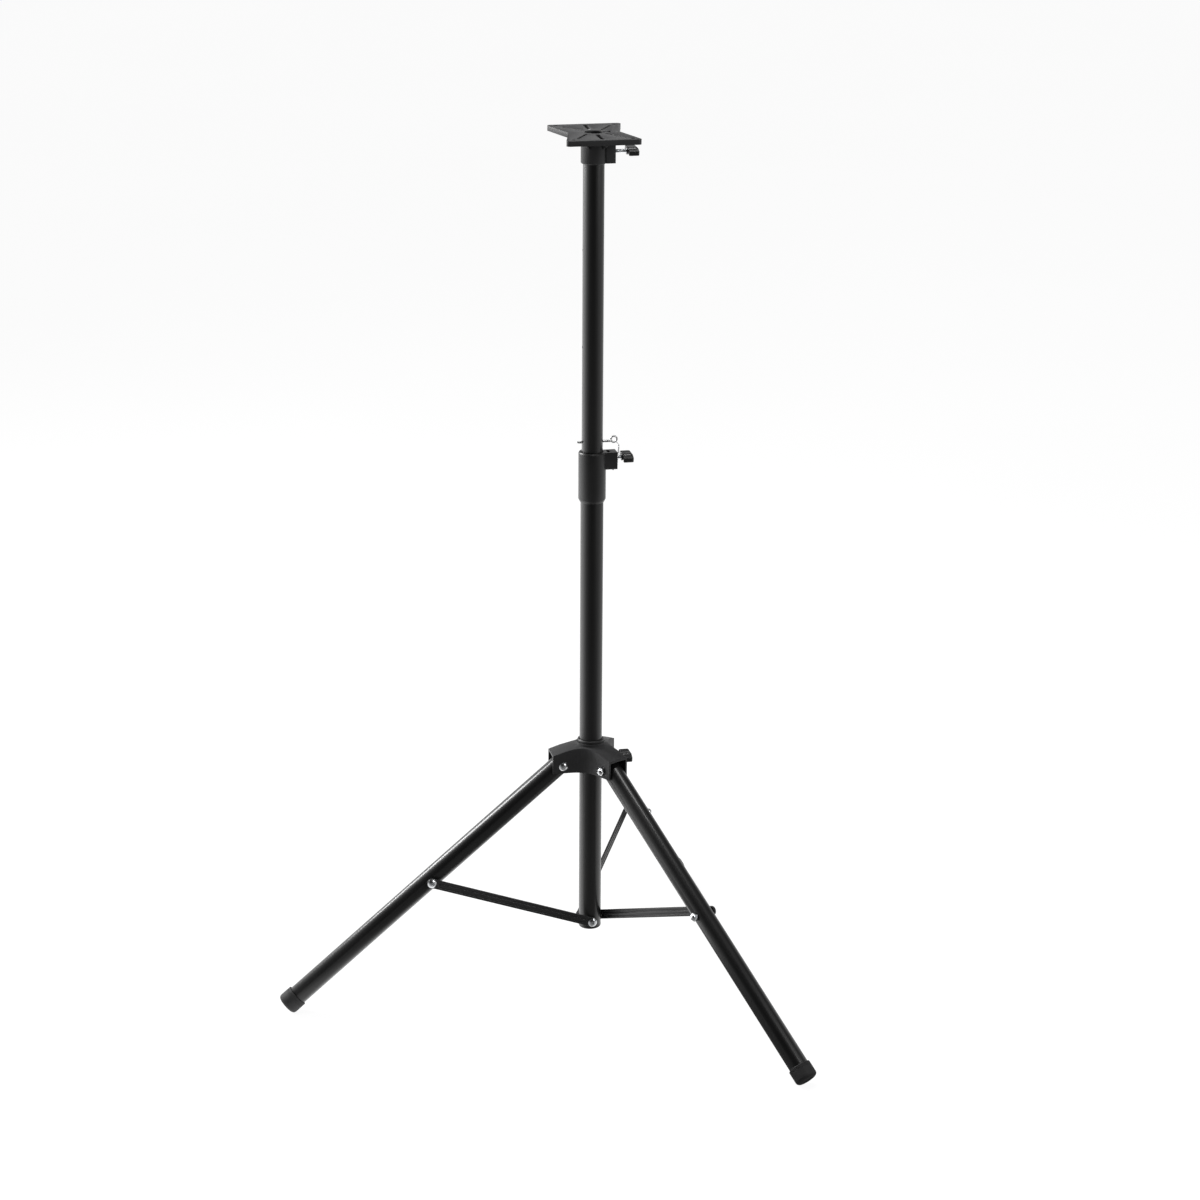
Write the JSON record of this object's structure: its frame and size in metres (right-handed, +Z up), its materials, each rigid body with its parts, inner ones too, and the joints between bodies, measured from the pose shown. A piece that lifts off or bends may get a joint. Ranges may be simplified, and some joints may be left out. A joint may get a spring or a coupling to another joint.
{
  "type": "speaker tripod stand",
  "caption": "Tripod stand for a loudspeaker: a telescoping pole with a clamp collar and pin, three folding legs with struts on a sliding hub, and a slotted top plate.",
  "frame": {"origin": "the point on the floor under the axis of the pole, with the legs open", "axes": "+Z up along the pole; +X is the way the three clamp screws point; the legs stand at 60, 180 and 300 degrees round +Z from +X"},
  "size_m": [0.8157, 0.936, 1.485],
  "materials": {
    "black_tube": "satin black powder coat on steel tube",
    "strut_black": "satin black paint on pressed steel",
    "casting": "matte charcoal, finely textured glass-filled plastic",
    "black_plastic": "plain black moulding",
    "knob_plastic": "semi-gloss black",
    "foot_rubber": "matte moulded rubber",
    "zinc_steel": "bright zinc plate",
    "pin_steel": "bright drawn wire",
    "nylon": "natural nylon"
  },
  "bodies": {
    "pole": {"lower_tube": "black_tube", "pole_end_plug": "black_plastic", "locking_collar": "casting", "mast_guide_bush": "nylon", "collar_nut": "zinc_steel", "collar_pad": "nylon", "strut_screws": "zinc_steel", "strut_washers": "nylon", "chain_anchor_screw": "zinc_steel"},
    "mast": {"upper_tube": "black_tube", "mast_foot_bush": "nylon"},
    "pin": {"safety_pin": "pin_steel", "chain_ring": "zinc_steel", "pin_chain": "zinc_steel"},
    "plate": {"top_plate": "casting", "plate_nut": "zinc_steel", "plate_pad": "nylon"},
    "plate_clamp": {"plate_screw": "zinc_steel", "plate_knob": "knob_plastic"},
    "collar_clamp": {"collar_screw": "zinc_steel", "collar_knob": "knob_plastic"},
    "hub_clamp": {"hub_screw": "zinc_steel", "hub_knob": "knob_plastic"},
    "slider": {"hub": "casting", "hub_bush": "black_plastic", "hub_nut": "zinc_steel", "hub_pad": "nylon", "leg_pivot_bolts": "zinc_steel", "leg_pivot_nuts": "zinc_steel"},
    "left_leg": {"leg_tube_left": "black_tube", "leg_plug_left": "black_plastic", "foot_left": "foot_rubber", "strut_stud_left": "zinc_steel"},
    "front_leg": {"leg_tube_front": "black_tube", "leg_plug_front": "black_plastic", "foot_front": "foot_rubber", "strut_stud_front": "zinc_steel"},
    "rear_leg": {"leg_tube_rear": "black_tube", "leg_plug_rear": "black_plastic", "foot_rear": "foot_rubber", "strut_stud_rear": "zinc_steel"},
    "left_strut": {"strut_left": "strut_black", "strut_bolt_left": "zinc_steel"},
    "front_strut": {"strut_front": "strut_black", "strut_bolt_front": "zinc_steel"},
    "rear_strut": {"strut_rear": "strut_black", "strut_bolt_rear": "zinc_steel"}
  },
  "joints": [
    {"name": "hub_slide", "type": "slide", "parent": "pole", "child": "slider", "axis": [0, 0, 1], "range_m": [0, 0.2992]},
    {"name": "left_leg_fold", "type": "hinge", "parent": "slider", "child": "left_leg", "pos_m": [-0.051, 0, 0.41623], "axis": [0, -1, 0], "range_deg": [0, 49.66]},
    {"name": "front_leg_fold", "type": "hinge", "parent": "slider", "child": "front_leg", "pos_m": [0.0255, -0.04417, 0.41623], "axis": [0.866, 0.5, 0], "range_deg": [0, 49.66]},
    {"name": "rear_leg_fold", "type": "hinge", "parent": "slider", "child": "rear_leg", "pos_m": [0.0255, 0.04417, 0.41623], "axis": [-0.866, 0.5, 0], "range_deg": [0, 49.66]},
    {"name": "left_strut_fold", "type": "hinge", "parent": "pole", "child": "left_strut", "pos_m": [0, -0.02125, 0.129], "axis": [0, 1, 0], "range_deg": [0, 61.19]},
    {"name": "front_strut_fold", "type": "hinge", "parent": "pole", "child": "front_strut", "pos_m": [0.0184, 0.01063, 0.129], "axis": [-0.866, -0.5, 0], "range_deg": [0, 61.19]},
    {"name": "rear_strut_fold", "type": "hinge", "parent": "pole", "child": "rear_strut", "pos_m": [-0.0184, 0.01063, 0.129], "axis": [0.866, -0.5, 0], "range_deg": [0, 61.19]},
    {"name": "mast_slide", "type": "slide", "parent": "pole", "child": "mast", "axis": [0, 0, 1], "range_m": [-0.0128, 0.29], "deforming": ["pin_chain"]},
    {"name": "pin_draw", "type": "slide", "parent": "mast", "child": "pin", "axis": [1, 0, 0], "range_m": [0, 0.05]},
    {"name": "plate_swivel", "type": "hinge", "parent": "mast", "child": "plate", "pos_m": [0, 0, 1.46], "axis": [0, 0, 1], "continuous": true},
    {"name": "plate_clamp_turn", "type": "hinge", "parent": "plate", "child": "plate_clamp", "pos_m": [0.05, 0, 1.4535], "axis": [1, 0, 0], "range_deg": [0, 720]},
    {"name": "collar_clamp_turn", "type": "hinge", "parent": "pole", "child": "collar_clamp", "pos_m": [0.05, 0, 0.9465], "axis": [1, 0, 0], "range_deg": [0, 720]},
    {"name": "hub_clamp_turn", "type": "hinge", "parent": "slider", "child": "hub_clamp", "pos_m": [0.05, 0, 0.42123], "axis": [1, 0, 0], "range_deg": [0, 720]}
  ],
  "couplings": [
    {"joint": "left_leg_fold", "follows": "hub_slide", "rad_per_m": 2.8962},
    {"joint": "front_leg_fold", "follows": "hub_slide", "rad_per_m": 2.8962},
    {"joint": "rear_leg_fold", "follows": "hub_slide", "rad_per_m": 2.8962},
    {"joint": "left_strut_fold", "follows": "hub_slide", "rad_per_m": 3.5687},
    {"joint": "front_strut_fold", "follows": "hub_slide", "rad_per_m": 3.5687},
    {"joint": "rear_strut_fold", "follows": "hub_slide", "rad_per_m": 3.5687}
  ]
}
